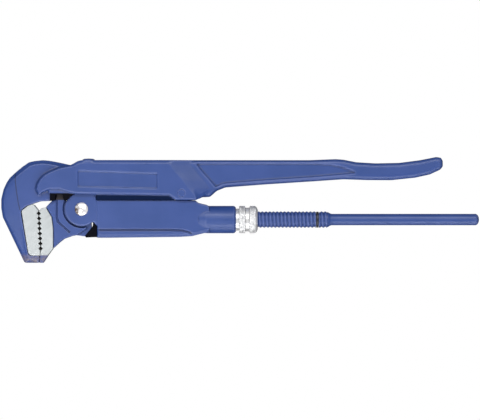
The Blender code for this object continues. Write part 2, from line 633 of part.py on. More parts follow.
def make_handle_rod(parts, guides, material):
    """The rod: an eye on a forged neck, the threaded shank, then the plain handle."""
    groove = STOP_RING_WIDTH / 2 + GAP
    middle = STOP_RING_X + STOP_RING_WIDTH / 2
    end = OVERALL_LENGTH
    shank = [(NECK_START_X, 0.0), (NECK_START_X, SHANK_RADIUS), (middle - groove, SHANK_RADIUS),
             (middle - groove, SHANK_RADIUS - 1.6), (middle + groove, SHANK_RADIUS - 1.6),
             (middle + groove, SHANK_RADIUS), (THREAD_END, SHANK_RADIUS),
             (THREAD_END + 4.0, ROD_RADIUS)]
    round_length = ROD_RADIUS * 0.5
    tip = []
    for i in range(7):
        angle = math.radians(15.0 * i)
        along = end - round_length + round_length * math.sin(angle)
        tip.append((along, ROD_RADIUS * (0.35 + 0.65 * math.cos(angle))))
    rod = turned("handle_rod", shank + tip + [(end, 0.0)], parts, 36)
    bend = bpy.data.curves.new("neck", "CURVE")
    bend.dimensions = "3D"
    bend.bevel_depth = SHANK_RADIUS * MM - 0.00002
    bend.bevel_resolution = 7
    bend.use_fill_caps = True
    path = [(NECK_START_X + 6.0, 0.0), (NECK_START_X + 2.0, 0.0)]
    for i in range(9):
        angle = NECK_TURN * i / 8
        path.append((NECK_START_X - NECK_BEND_RADIUS * math.sin(angle),
                     NECK_BEND_RADIUS * (1 - math.cos(angle))))
    path.append((ANCHOR_X + 0.6 * math.cos(NECK_TURN), ANCHOR_Y - 0.6 * math.sin(NECK_TURN)))
    spline = bend.splines.new("POLY")
    spline.points.add(len(path) - 1)
    for point, (x, y) in zip(spline.points, scaled(path)):
        point.co = (x, y, 0.0, 1.0)
    neck = bpy.data.objects.new("neck", bend)
    guides.objects.link(neck)
    neck = as_mesh(neck)
    half = SHANK_RADIUS - 0.2
    outside = plate("above_eye", [(ANCHOR_X - 14, ANCHOR_Y - 1.5), (ANCHOR_X + 14, ANCHOR_Y - 1.5),
                                  (ANCHOR_X + 14, ANCHOR_Y + 14), (ANCHOR_X - 14, ANCHOR_Y + 14)],
                    -12, 12, guides)
    combine(neck, outside, "DIFFERENCE")
    combine(rod, neck, "UNION")
    eye = cylinder("eye", ANCHOR_X, ANCHOR_Y, EYE_RADIUS, -half, half, guides, 36)
    combine(rod, eye, "UNION")
    bore = ANCHOR_PIN_RADIUS + GAP
    combine(rod, cylinder("eye_bore", ANCHOR_X, ANCHOR_Y, bore, -12, 12, guides, 24), "DIFFERENCE")
    return finish(as_mesh(rod), material)


def make_adjusting_nut(parts, material):
    """The knurled nut, with the neck that runs in the collar."""
    groove = RETAINER_WIDTH / 2 + GAP
    thin = NUT_NECK_RADIUS - 1.0
    neck = NUT_NECK_RADIUS
    profile = [(NUT_NECK_START, BORE_RADIUS), (NUT_NECK_START, neck), (RETAINER_X - groove, neck),
               (RETAINER_X - groove, thin), (RETAINER_X + groove, thin), (RETAINER_X + groove, neck),
               (NUT_START, neck), (NUT_START, NUT_RADIUS - 0.6), (NUT_START + 0.6, NUT_RADIUS),
               (NUT_SLOT_START - 0.5, NUT_RADIUS), (NUT_SLOT_START, NUT_RADIUS - NUT_SLOT_DEPTH),
               (NUT_SLOT_END, NUT_RADIUS - NUT_SLOT_DEPTH), (NUT_SLOT_END + 0.5, NUT_RADIUS),
               (NUT_END - 2.4, NUT_RADIUS), (NUT_END - 0.8, NUT_RADIUS - 1.6),
               (NUT_END, NUT_RADIUS - 3.4), (NUT_END, BORE_RADIUS)]
    return finish(turned("adjusting_nut", profile, parts, 48), material)


def split_ring(name, inner, outer, middle, width, parts, guides, material):
    """A spring ring with its ends a little apart."""
    low = middle - width / 2
    high = middle + width / 2
    profile = [(low, inner), (low, outer), (high, outer), (high, inner)]
    ring = turned(name, profile, parts, 36)
    combine(ring, box(name + "_mouth", (low - 1, inner - 1, -1.2), (high + 1, outer + 1, 1.2), guides),
            "DIFFERENCE")
    return finish(as_mesh(ring), material)


def make_leaf_spring(parts, guides, material):
    """A bent strip under the channel's roof that bears on the jaw's heel."""
    top = ROOF_UNDERSIDE - GAP
    centre = [(SPRING_RIVET_X + 8.0, 0.0), (SPRING_RIVET_X - 8.0, 0.0), (SPRING_RIVET_X - 12.0, 1.2),
              (SPRING_RIVET_X - 17.0, 3.9), (SPRING_RIVET_X - 21.0, 6.3), (SPRING_RIVET_X - 24.0, 8.2),
              (SPRING_RIVET_X - 26.0, 8.5)]
    upper = [(x, top - drop) for x, drop in centre]
    lower = [(x, top - drop - SPRING_THICKNESS) for x, drop in reversed(centre)]
    half = SPRING_WIDTH / 2
    strip = plate("leaf_spring", upper + lower, -half, half, parts)
    hole = cylinder("spring_hole", 0.0, 0.0, SPRING_RIVET_RADIUS + GAP, -6.0, 6.0, guides, 24)
    hole.rotation_euler = (math.pi / 2, 0.0, 0.0)
    hole.location = (SPRING_RIVET_X * MM, top * MM, 0.0)
    combine(strip, hole, "DIFFERENCE")
    return finish(as_mesh(strip), material)


def make_spring_rivet(parts, material):
    """The rivet that holds the leaf spring; its upper head lies in the arm's back."""
    bottom = ROOF_UNDERSIDE - 2 * GAP - SPRING_THICKNESS
    top = HANDLE_TOP + GAP
    stem = SPRING_RIVET_RADIUS
    profile = [(bottom - 1.8, 0.0), (bottom - 1.4, stem), (bottom - 0.6, stem + 1.6),
               (bottom, stem + 1.8), (bottom, stem), (top, stem), (top, stem + 3.0),
               (top + 0.5, stem + 2.6), (top + 1.0, stem + 1.0), (top + 1.2, 0.0)]
    rivet = turned("spring_rivet", profile, parts, 28)
    rivet.data.transform(Matrix.Rotation(math.pi / 2, 4, "Z"))
    rivet.data.transform(Matrix.Translation(Vector((SPRING_RIVET_X, 0.0, 0.0)) * MM))
    return finish(rivet, material)


def make_anchor_pin(parts, material):
    """The cross pin through the channel's walls and the rod's eye, ground flush."""
    half = CHANNEL_WIDTH / 2 - GAP
    pin = cylinder("anchor_pin", ANCHOR_X, ANCHOR_Y, ANCHOR_PIN_RADIUS, -half, half, parts, 24)
    return finish(pin, material)


def clear_scene():
    for obj in list(bpy.data.objects):
        bpy.data.objects.remove(obj, do_unlink=True)


def main():
    clear_scene()
    parts = new_collection("pipe_wrench")
    guides = new_collection("cutters")
    blue = steel("blue_paint", (0.065, 0.11, 0.35), 0.42, 0.0)
    ground = steel("ground_steel", (0.72, 0.73, 0.72), 0.32, 1.0)
    chrome = steel("nut_chrome", (0.80, 0.80, 0.82), 0.18, 1.0)
    spring = steel("spring_steel", (0.16, 0.16, 0.18), 0.45, 1.0)
    make_upper_arm(parts, guides, blue)
    make_hook_insert(parts, ground)
    make_jaw_insert(parts, ground)
    make_moving_jaw(parts, guides, blue)
    make_lower_frame(parts, guides, blue)
    make_jaw_pin(parts, ground)
    make_handle_rod(parts, guides, blue)
    make_adjusting_nut(parts, chrome)
    split_ring("nut_retaining_ring", NUT_NECK_RADIUS - 0.7, NUT_NECK_RADIUS + 1.0, RETAINER_X,
               RETAINER_WIDTH, parts, guides, spring)
    split_ring("stop_ring", SHANK_RADIUS - 1.3, SHANK_RADIUS - 0.05, STOP_RING_X + STOP_RING_WIDTH / 2,
               STOP_RING_WIDTH, parts, guides, spring)
    make_leaf_spring(parts, guides, spring)
    make_spring_rivet(parts, blue)
    make_anchor_pin(parts, ground)
    for obj in parts.objects:
        obj.matrix_world = Matrix.Translation(-ORIGIN) @ obj.matrix_world
    for obj in guides.objects:
        obj.hide_render = True
        obj.display_type = "WIRE"


main()
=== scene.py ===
# %% [markdown]
# # A corner pipe wrench, finished
# The working model comes in as a frame of steel parts, already in the right places.  This lesson
# gives each part the surface that the real tool has: forgings with soft edges under satin blue
# paint, jaws ground bright, a rolled thread, and a knurled chrome nut.
# Everything is in metres, in the frame of the working model.

# %% Load the frame
import math

import bmesh
import bpy
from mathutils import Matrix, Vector


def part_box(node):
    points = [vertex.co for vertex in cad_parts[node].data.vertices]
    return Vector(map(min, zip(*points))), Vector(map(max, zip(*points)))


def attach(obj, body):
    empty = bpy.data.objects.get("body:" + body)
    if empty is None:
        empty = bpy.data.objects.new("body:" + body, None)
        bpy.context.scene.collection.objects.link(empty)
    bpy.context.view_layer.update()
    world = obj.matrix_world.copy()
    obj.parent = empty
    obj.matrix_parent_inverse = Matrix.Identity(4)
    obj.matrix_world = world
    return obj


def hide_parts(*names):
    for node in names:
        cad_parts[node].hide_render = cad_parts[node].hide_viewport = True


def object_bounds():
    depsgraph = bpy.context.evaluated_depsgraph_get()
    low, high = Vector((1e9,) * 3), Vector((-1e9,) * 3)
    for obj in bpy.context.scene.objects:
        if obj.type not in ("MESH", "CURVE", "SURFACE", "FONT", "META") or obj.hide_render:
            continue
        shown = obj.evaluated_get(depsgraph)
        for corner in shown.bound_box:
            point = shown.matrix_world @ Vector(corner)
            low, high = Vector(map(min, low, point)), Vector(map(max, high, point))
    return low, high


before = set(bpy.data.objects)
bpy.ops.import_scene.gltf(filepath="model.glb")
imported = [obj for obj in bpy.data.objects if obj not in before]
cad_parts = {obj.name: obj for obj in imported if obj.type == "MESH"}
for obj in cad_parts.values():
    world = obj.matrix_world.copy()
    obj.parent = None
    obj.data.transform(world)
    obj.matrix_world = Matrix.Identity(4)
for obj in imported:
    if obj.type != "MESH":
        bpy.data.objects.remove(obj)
CAD_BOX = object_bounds()
MM = 0.001
print("working model, mm:", [round((b - a) / MM, 1) for a, b in zip(*CAD_BOX)])

# %% [markdown]
# ## Where things are
# The rod's axis is the one line that the thread, the nut and the collar share, so it is read
# from the nut's own box.  Places along the tool are read from the parts that they belong to.

# %% Landmarks from the frame
NUT_LOW, NUT_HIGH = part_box("adjusting_nut")
ROD_LOW, ROD_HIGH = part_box("handle_rod")
STOP_LOW, STOP_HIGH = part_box("stop_ring")
PIN_LOW, PIN_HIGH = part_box("jaw_pin")
AXIS_Y = (NUT_LOW[1] + NUT_HIGH[1]) / 2
AXIS_Z = (NUT_LOW[2] + NUT_HIGH[2]) / 2
HOOK_LOW, HOOK_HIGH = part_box("hook_insert")
FRAME_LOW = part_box("lower_frame")[0]
NUT_RADIUS = (NUT_HIGH[2] - NUT_LOW[2]) / 2
SHANK_RADIUS = (ROD_HIGH[2] - ROD_LOW[2]) / 2
ROD_RADIUS = 5.0 * MM
print("rod axis at y", round(AXIS_Y, 4), "z", round(AXIS_Z, 4), "shank radius", round(SHANK_RADIUS, 5))

# %% [markdown]
# ## Writing materials as code
# A shader is a small graph.  One helper adds a node and sets its inputs, and takes either a
# number or another node's output for each, so that a finish reads as a short list of steps.
# A number that is the same all over goes straight on the shader's own socket.

# %% A helper for shader nodes
def add_node(tree, kind, inputs=None, **settings):
    node = tree.nodes.new(kind)
    for key, value in settings.items():
        setattr(node, key, value)
    for key, value in (inputs or {}).items():
        if isinstance(value, bpy.types.NodeSocket):
            tree.links.new(value, node.inputs[key])
        else:
            node.inputs[key].default_value = value
    return node


def new_material(name):
    material = bpy.data.materials.new(name)
    material.use_nodes = True
    tree = material.node_tree
    shader = tree.nodes["Principled BSDF"]
    place = add_node(tree, "ShaderNodeTexCoord").outputs["Object"]
    return material, tree, shader, place


def noise(tree, place, scale, detail=3.0, roughness=0.5, stretch=None, slant=0.0):
    """Noise over the piece's own place, in features per metre; stretch and slant draw it into lines."""
    if stretch:
        turned = add_node(tree, "ShaderNodeMapping", {"Vector": place, "Rotation": (0.0, 0.0, slant)})
        place = add_node(tree, "ShaderNodeMapping", {"Vector": turned.outputs["Vector"],
                                                     "Scale": stretch}).outputs["Vector"]
    node = add_node(tree, "ShaderNodeTexNoise",
                    {"Vector": place, "Scale": scale, "Detail": detail, "Roughness": roughness})
    return node.outputs["Fac"]


def ramp(tree, value, low, high, to_low=0.0, to_high=1.0):
    node = add_node(tree, "ShaderNodeMapRange", {"Value": value, "From Min": low, "From Max": high,
                                                 "To Min": to_low, "To Max": to_high})
    return node.outputs["Result"]


def mix_colour(tree, factor, low, high):
    node = add_node(tree, "ShaderNodeMix", {0: factor}, data_type="RGBA")
    for socket, value in ((6, low), (7, high)):
        if isinstance(value, bpy.types.NodeSocket):
            tree.links.new(value, node.inputs[socket])
        else:
            node.inputs[socket].default_value = (*value, 1.0)
    return node.outputs[2]


def bump(tree, shader, heights):
    """Chain bumps, each (height socket, strength, distance in metres)."""
    normal = None
    for height, strength, distance in heights:
        inputs = {"Height": height, "Strength": strength, "Distance": distance}
        if normal:
            inputs["Normal"] = normal
        normal = add_node(tree, "ShaderNodeBump", inputs).outputs["Normal"]
    tree.links.new(normal, shader.inputs["Normal"])


# %% [markdown]
# ## Masks in the model's own space
# Painted shade and wear lie in known places, not all over.  A mask is 1 where they lie and 0 elsewhere.
# It could be painted by hand on a UV map; here it is worked out from the point's own x, y and z,
# so it stays right when the mesh is made again.

# %% Masks
def within(tree, place, low, high, soft=0.3 * MM):
    """1 inside a box of the model's space, 0 outside, with soft sides; None leaves a side open."""
    parts = tree.nodes.new("ShaderNodeSeparateXYZ")
    tree.links.new(place, parts.inputs[0])
    inside = None
    for axis, bottom, top in zip("XYZ", low, high):
        for limit, direction in ((bottom, 1), (top, -1)):
            if limit is None:
                continue
            start, end = sorted((limit - soft, limit + soft))
            at_start, at_end = (0.0, 1.0) if direction > 0 else (1.0, 0.0)
            side = ramp(tree, parts.outputs[axis], start, end, at_start, at_end)
            inside = side if inside is None else multiply(tree, inside, side)
    return inside


def line_mask(tree, place, start, end, half_width):
    """1 along a straight line drawn on the face between two (x, y) points, 0 away from it."""
    along = Vector((end[0] - start[0], end[1] - start[1], 0.0))
    length = along.length
    along.normalize()
    sideways = (-along.y, along.x, 0.0)
    soft = 0.2 * MM
    local = add_node(tree, "ShaderNodeVectorMath", {0: place, 1: (start[0], start[1], 0.0)},
                     operation="SUBTRACT").outputs["Vector"]
    travel = add_node(tree, "ShaderNodeVectorMath", {0: local, 1: along},
                      operation="DOT_PRODUCT").outputs["Value"]
    across = add_node(tree, "ShaderNodeVectorMath", {0: local, 1: sideways},
                      operation="DOT_PRODUCT").outputs["Value"]
    away = add_node(tree, "ShaderNodeMath", {0: across}, operation="ABSOLUTE").outputs[0]
    near = ramp(tree, away, half_width, 2.0 * half_width, 1.0, 0.0)
    first = ramp(tree, travel, -soft, soft)
    last = ramp(tree, travel, length - soft, length + soft, 1.0, 0.0)
    return multiply(tree, near, multiply(tree, first, last))


def multiply(tree, left, right):
    return add_node(tree, "ShaderNodeMath", {0: left, 1: right}, operation="MULTIPLY").outputs[0]


def larger(tree, left, right):
    return add_node(tree, "ShaderNodeMath", {0: left, 1: right}, operation="MAXIMUM").outputs[0]

# %% [markdown]
# ## Blue paint over a forging
# The arm, jaw, frame and rod are drop forgings under one coat of satin blue.  The die leaves the
# steel slightly rolling, and sprayed paint adds a finer skin.  Where edges stand proud the coat
# is thin and a shade lighter, and the hollows are painted darker as shade: the pointiness of a
# dense mesh tells the two apart.

# %% Paint material
BLUE = (0.019, 0.056, 0.228)
PALER_BLUE = (0.027, 0.066, 0.258)
THIN_BLUE = (0.085, 0.125, 0.330)
# painted shade for the hollows
HOLLOW_SHADE_BLUE = (0.006, 0.016, 0.075)
# painted shade along the hook's crease
CREASE_SHADE_BLUE = (0.010, 0.024, 0.100)
# painted shade for the narrow gaps at the lips and the cheeks
GAP_SHADE_BLUE = (0.004, 0.011, 0.042)
GAP_SHADE_BLACK = (0.004, 0.004, 0.007)
BARE_NOSE = (0.22, 0.175, 0.165)
# bare steel of the heel, painted dark as shade
SHADED_BARE_HEEL = (0.040, 0.036, 0.040)
MATT_SHINE = 0.03
PAINT_SHINE = 0.5
PAINT_COAT = 0.18


def paint_colour(tree, place):
    """Blue that drifts a little, lighter on proud edges, and darker in hollows as painted shade."""
    drift = noise(tree, place, 45.0, 4.0)
    point = add_node(tree, "ShaderNodeNewGeometry").outputs["Pointiness"]
    base = mix_colour(tree, ramp(tree, drift, 0.3, 0.7), BLUE, PALER_BLUE)
    edge = ramp(tree, point, 0.506, 0.55)
    lit = mix_colour(tree, edge, base, THIN_BLUE)
    # painted shade: the hollows are darkened where shade would fall
    deep = ramp(tree, point, 0.494, 0.455)
    return mix_colour(tree, deep, lit, HOLLOW_SHADE_BLUE)


def nose_scuff(tree, place):
    """How far the paint on the nose is knocked off, in patches."""
    return ramp(tree, noise(tree, place, 260.0, 5.0, 0.7), 0.42, 0.62, 0.22, 0.75)


def make_paint(name="satin_blue_paint", shaded_boxes=(), bare=None, scuffed_below=None, crease=()):
    """The second argument holds (box, colour) pairs of recesses painted dark as shade; bare: a box
    of steel worn bare and painted dark as shade; scuffs at the nose; crease: points along an
    incised line, painted dark along it as shade."""
    material, tree, shader, place = new_material(name)
    speck = noise(tree, place, 900.0, 2.0)
    colour = paint_colour(tree, place)
    if scuffed_below is not None:
        nose = within(tree, place, (None, None, None), (None, scuffed_below, None), 2.0 * MM)
        colour = mix_colour(tree, multiply(tree, nose, nose_scuff(tree, place)), colour, BARE_NOSE)
    # a dark line painted along the hook's crease as shade
    for start, end in zip(crease, crease[1:]):
        line = line_mask(tree, place, start, end, 0.3 * MM)
        colour = mix_colour(tree, line, colour, CREASE_SHADE_BLUE)
    shader.inputs["Specular IOR Level"].default_value = PAINT_SHINE
    shader.inputs["Coat Weight"].default_value = PAINT_COAT
    # boxes painted dark as shade in the narrow gaps, and made matt
    matt = [within(tree, place, *box) for box, shade_colour in shaded_boxes]
    for mask, (box, shade_colour) in zip(matt, shaded_boxes):
        colour = mix_colour(tree, mask, colour, shade_colour)
    if bare:
        # the heel is bare steel, painted dark as the shade up in the channel
        bare_heel_shade = within(tree, place, *bare)
        colour = mix_colour(tree, bare_heel_shade, colour, SHADED_BARE_HEEL)
        matt.append(bare_heel_shade)
    if matt:
        most = matt[0]
        for mask in matt[1:]:
            most = larger(tree, most, mask)
        shine = ramp(tree, most, 0.0, 1.0, PAINT_SHINE, MATT_SHINE)
        tree.links.new(shine, shader.inputs["Specular IOR Level"])
        tree.links.new(ramp(tree, most, 0.0, 1.0, PAINT_COAT, 0.0), shader.inputs["Coat Weight"])
    tree.links.new(colour, shader.inputs["Base Color"])
    tree.links.new(ramp(tree, speck, 0.3, 0.7, 0.36, 0.47), shader.inputs["Roughness"])
    shader.inputs["Coat Roughness"].default_value = 0.28
    roll = noise(tree, place, 110.0, 3.0)
    skin = noise(tree, place, 1500.0, 2.0)
    bump(tree, shader, [(roll, 0.35, 0.0006), (skin, 0.25, 0.00006)])
    return material


# %% [markdown]
# ## Ground steel
# The toothed blocks are ground on their flats after hardening.  The wheel's fine scratches run
# at a slant, so the noise is turned and then stretched until it becomes lines.

# %% Ground steel material
def make_ground_steel(name="ground_jaw_steel", nose_top=None):
    """Below nose_top the block is painted like the forging that it sits in."""
    material, tree, shader, place = new_material(name)
    lines = noise(tree, place, 900.0, 4.0, 0.6, (1.0, 0.05, 1.0), 0.9)
    scratch = noise(tree, place, 380.0, 5.0, 0.7, (1.0, 0.07, 1.0), 0.9)
    cloud = larger(tree, noise(tree, place, 120.0, 3.0), scratch)
    colour = mix_colour(tree, ramp(tree, cloud, 0.3, 0.7), (0.42, 0.45, 0.46), (0.53, 0.56, 0.57))
    if nose_top is None:
        shader.inputs["Metallic"].default_value = 0.45
    else:
        nose = within(tree, place, (None, None, None), (None, nose_top, None))
        worn_paint = mix_colour(tree, nose_scuff(tree, place), paint_colour(tree, place), BARE_NOSE)
        colour = mix_colour(tree, nose, colour, worn_paint)
        tree.links.new(ramp(tree, nose, 0.0, 1.0, 0.45, 0.0), shader.inputs["Metallic"])
    tree.links.new(colour, shader.inputs["Base Color"])
    tree.links.new(ramp(tree, lines, 0.3, 0.7, 0.30, 0.46), shader.inputs["Roughness"])
    bump(tree, shader, [(lines, 0.25, 0.00005)])
    return material


# %% [markdown]
# ## Chrome, spring steel and notch shade
# The nut is plated bright and the rivet polished; the split rings and the leaf spring are dark
# and oiled.  The shade deep in the notches is painted as a black that is lumpy and dull.

# %% Chrome, spring steel and notch shade materials
def make_polished():
    """The rivet's dome: bright, with a warm dark patch painted as shade on the side away from the light.
    """
    material, tree, shader, place = new_material("polished_rivet")
    facing = add_node(tree, "ShaderNodeNewGeometry").outputs["Normal"]
    parts = add_node(tree, "ShaderNodeSeparateXYZ", {"Vector": facing})
    away = ramp(tree, parts.outputs["X"], -0.16, -0.34)
    blot = noise(tree, place, 420.0, 3.0)
    # painted shade: a warm dark patch on the side that faces away from the light
    side_shade = multiply(tree, away, ramp(tree, blot, 0.36, 0.56))
    colour = mix_colour(tree, side_shade, (0.90, 0.88, 0.89), (0.16, 0.11, 0.09))
    tree.links.new(colour, shader.inputs["Base Color"])
    shader.inputs["Metallic"].default_value = 0.5
    shader.inputs["Roughness"].default_value = 0.2
    return material


def make_chrome():
    material, tree, shader, place = new_material("bright_chrome")
    haze = noise(tree, place, 300.0, 3.0)
    point = add_node(tree, "ShaderNodeNewGeometry").outputs["Pointiness"]
    colour = mix_colour(tree, haze, (0.80, 0.81, 0.82), (0.88, 0.88, 0.89))
    # painted shade: the chrome is darkened in the hollows of the knurl and the waist
    colour = mix_colour(tree, ramp(tree, point, 0.49, 0.44), colour, (0.10, 0.10, 0.12))
    tree.links.new(colour, shader.inputs["Base Color"])
    tree.links.new(ramp(tree, haze, 0.3, 0.7, 0.18, 0.30), shader.inputs["Roughness"])
    shader.inputs["Metallic"].default_value = 0.55
    return material


def make_spring_steel():
    material, tree, shader, place = new_material("oiled_spring_steel")
    haze = noise(tree, place, 400.0, 3.0)
    colour = mix_colour(tree, haze, (0.030, 0.032, 0.040), (0.085, 0.085, 0.095))
    tree.links.new(colour, shader.inputs["Base Color"])
    tree.links.new(ramp(tree, haze, 0.3, 0.7, 0.35, 0.55), shader.inputs["Roughness"])
    shader.inputs["Metallic"].default_value = 0.9
    return material


def make_plug_shade():
    # a lumpy black that stands for the shade deep in the notches
    material, tree, shader, place = new_material("painted_notch_shade")
    lumps = noise(tree, place, 1400.0, 3.0)
    colour = mix_colour(tree, lumps, (0.003, 0.003, 0.003), (0.012, 0.011, 0.010))
    tree.links.new(colour, shader.inputs["Base Color"])
    shader.inputs["Roughness"].default_value = 0.65
    shader.inputs["Specular IOR Level"].default_value = 0.15
    bump(tree, shader, [(lumps, 0.5, 0.0001)])
    return material


SHADE_PLUG_BLACK = make_plug_shade()
GROUND = make_ground_steel()
CHROME = make_chrome()
SPRING = make_spring_steel()
POLISHED = make_polished()
print("metals:", [m.name for m in (SHADE_PLUG_BLACK, GROUND, CHROME, SPRING, POLISHED)])

# %% [markdown]
# ## Where the painted shade and the wear lie
# The lips inside the channel and the cheeks inside the frame are painted dark as shade, and the
# jaw's heel is worn bare and painted dark as shade.  Each of these is a box: (low corner, high
# corner), with None for an open side.  The hook has a line down its face, painted dark as shade,
# and below the blocks both noses have lost some paint.

# %% Paints with their painted shade and wear
LIP_DEPTH = 12.3 * MM
CHEEK_DEPTH = 8.0 * MM
# the lips and the cheek below are painted dark as shade
LIP = ((PIN_HIGH[0] + 6.0 * MM, AXIS_Y + 16.5 * MM, AXIS_Z - LIP_DEPTH),
       (PIN_HIGH[0] + 76.0 * MM, AXIS_Y + 21.9 * MM, AXIS_Z + LIP_DEPTH))
FRONT_LIP = ((PIN_LOW[0] - 21.6 * MM, AXIS_Y + 16.0 * MM, AXIS_Z - LIP_DEPTH),
             (PIN_LOW[0] + 0.6 * MM, AXIS_Y + 23.2 * MM, AXIS_Z + LIP_DEPTH))
CHEEK = ((PIN_LOW[0], FRAME_LOW[1] - 1.0 * MM, AXIS_Z - CHEEK_DEPTH),
         (PIN_HIGH[0] + 7.7 * MM, AXIS_Y - 0.8 * MM, AXIS_Z + CHEEK_DEPTH))
HEEL = ((PIN_LOW[0] - 22.0 * MM, AXIS_Y + 17.2 * MM, None),
        (PIN_LOW[0] - 6.0 * MM, AXIS_Y + 22.5 * MM, None))
NOSE_TOP = HOOK_LOW[1] + 0.2 * MM
# points of the hook's crease, along which a line is painted dark as shade
CREASE = [(HOOK_LOW[0] - 5.8 * MM, AXIS_Y + 41.0 * MM), (HOOK_LOW[0] - 5.5 * MM, AXIS_Y + 33.0 * MM),
          (HOOK_LOW[0] - 4.4 * MM, AXIS_Y + 24.0 * MM), (HOOK_LOW[0] - 3.0 * MM, AXIS_Y + 15.0 * MM),
          (HOOK_LOW[0] - 1.4 * MM, AXIS_Y + 8.2 * MM)]
PAINT = make_paint()
ARM_PAINT = make_paint("arm_paint", [(LIP, GAP_SHADE_BLUE), (FRONT_LIP, GAP_SHADE_BLACK)],
                       scuffed_below=NOSE_TOP, crease=CREASE)
FRAME_PAINT = make_paint("frame_paint", [(CHEEK, GAP_SHADE_BLACK)])
JAW_PAINT = make_paint("jaw_paint", bare=HEEL)
JAW_GROUND = make_ground_steel("jaw_block_steel", nose_top=NOSE_TOP)
print("paints:", [m.name for m in (PAINT, ARM_PAINT, FRAME_PAINT, JAW_PAINT, JAW_GROUND)])

# %% [markdown]
# ## From a working solid to a forging
# A drop forging has no sharp edge: every corner has the die's radius.  Bevels would need clean
# edge loops, which a cut solid hasn't got.  Instead the solid is wrapped again in small even
# cells (a voxel remesh) and relaxed a little, and that rounds edges and fillets corners at once.
# The cells are about as big as the radius wanted.

# %% Helpers that make the surfaces
def link(mesh, name):
    obj = bpy.data.objects.new(name, mesh)
    bpy.context.scene.collection.objects.link(obj)
    return obj


def as_piece(work, name):
    """A bmesh as an object in the scene; the bmesh is used up."""
    mesh = bpy.data.meshes.new(name)
    work.to_mesh(mesh)
    work.free()
    return link(mesh, name)


def plain(obj):
    """The object's evaluated shape as a new plain mesh; the old object goes."""
    name = obj.name
    bpy.context.view_layer.update()
    mesh = bpy.data.meshes.new_from_object(obj.evaluated_get(bpy.context.evaluated_depsgraph_get()))
    bpy.data.objects.remove(obj)
    mesh.name = name
    return link(mesh, name)


def merged_copy(node, name, cut_x=None):
    """The CAD node's mesh with its corners joined; cut_x keeps only what lies below that x."""
    work = bmesh.new()
    work.from_mesh(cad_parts[node].data)
    bmesh.ops.remove_doubles(work, verts=work.verts, dist=1e-6)
    if cut_x is not None:
        everything = work.verts[:] + work.edges[:] + work.faces[:]
        cut = bmesh.ops.bisect_plane(work, geom=everything, plane_co=(cut_x, 0, 0), plane_no=(1, 0, 0),
                                     clear_outer=True)
        rim = [e for e in cut["geom_cut"] if isinstance(e, bmesh.types.BMEdge)]
        bmesh.ops.holes_fill(work, edges=rim, sides=0)
    return as_piece(work, name)


def wrapped(obj, cell, relax):
    """A solid wrapped again in cells of that size, then relaxed that many times."""
    wrap = obj.modifiers.new("wrap", "REMESH")
    wrap.mode = "VOXEL"
    wrap.voxel_size = cell
    wrap.use_smooth_shade = True
    soften = obj.modifiers.new("soften", "SMOOTH")
    soften.factor = 0.5
    soften.iterations = relax
    return plain(obj)


def forged(node, name, cell, relax, cut_x=None):
    """A CAD node as a forging: its solid wrapped, cut off at cut_x if that is given."""
    return wrapped(merged_copy(node, name, cut_x), cell, relax)


def dress(obj, material, body, slot, *nodes):
    """Finish a piece: its material, the body it rides on, and the nodes it stands for; slot is not used.
    """
    obj.data.materials.clear()
    obj.data.materials.append(material)
    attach(obj, body)
    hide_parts(*nodes)
    triangles = sum(len(p.vertices) - 2 for p in obj.data.polygons)
    print(f"{obj.name}: {triangles} triangles on {body}")
    return obj


# %% [markdown]
# ## The upper arm
# Hook, channel and handle are one forging, so they are one piece here too.

# %% Upper arm
arm = forged("upper_arm", "arm_forging", 0.70 * MM, 4)
dress(arm, ARM_PAINT, "arm", "blue_paint", "upper_arm")

# %% [markdown]
# ## The frame and the moving jaw
# These two are smaller and their rims crisper, so their cells are finer.

# %% Frame and jaw forgings
casting = forged("lower_frame", "frame_forging", 0.55 * MM, 3)
dress(casting, FRAME_PAINT, "frame", "blue_paint", "lower_frame")
jaw = forged("moving_jaw", "jaw_forging", 0.40 * MM, 3)
dress(jaw, JAW_PAINT, "jaw", "blue_paint", "moving_jaw")

# %% [markdown]
# ## Toothed blocks
# Each block is hardened steel, ground flat, with notches milled straight across.  Very small
# cells keep the teeth sharp and only break their edges.

# %% Toothed blocks
hook_block = forged("hook_insert", "hook_teeth", 0.28 * MM, 1)
dress(hook_block, GROUND, "arm", "ground_steel", "hook_insert")
jaw_block = forged("jaw_insert", "jaw_teeth", 0.28 * MM, 1)
dress(jaw_block, JAW_GROUND, "jaw", "ground_steel", "jaw_insert")

# %% [markdown]
# ## Painted shade in the notches
# The shade deep in the narrow notches is painted as black plugs that fill them almost to the
# surface.  Each plug is a half diamond that fills its own block's notch and stops short of the
# grip line.

# %% Shade plugs
TOOTH_COUNT = 8
TOOTH_PITCH = 4.4 * MM
FIRST_TOOTH_Y = AXIS_Y + 5.4 * MM
GRIP_TOP_Y = AXIS_Y + 5.3 * MM
GRIP_KNEE_Y = AXIS_Y - 25.3 * MM
GRIP_LEAN = 1.7 * MM
GRIP_GAP = 0.4 * MM


def grip_line(y):
    """The hook's grip face: it leans out evenly from the first tooth towards the nose."""
    share = min(1.0, (GRIP_TOP_Y - y) / (GRIP_TOP_Y - GRIP_KNEE_Y))
    return HOOK_HIGH[0] - GRIP_LEAN + GRIP_LEAN * share


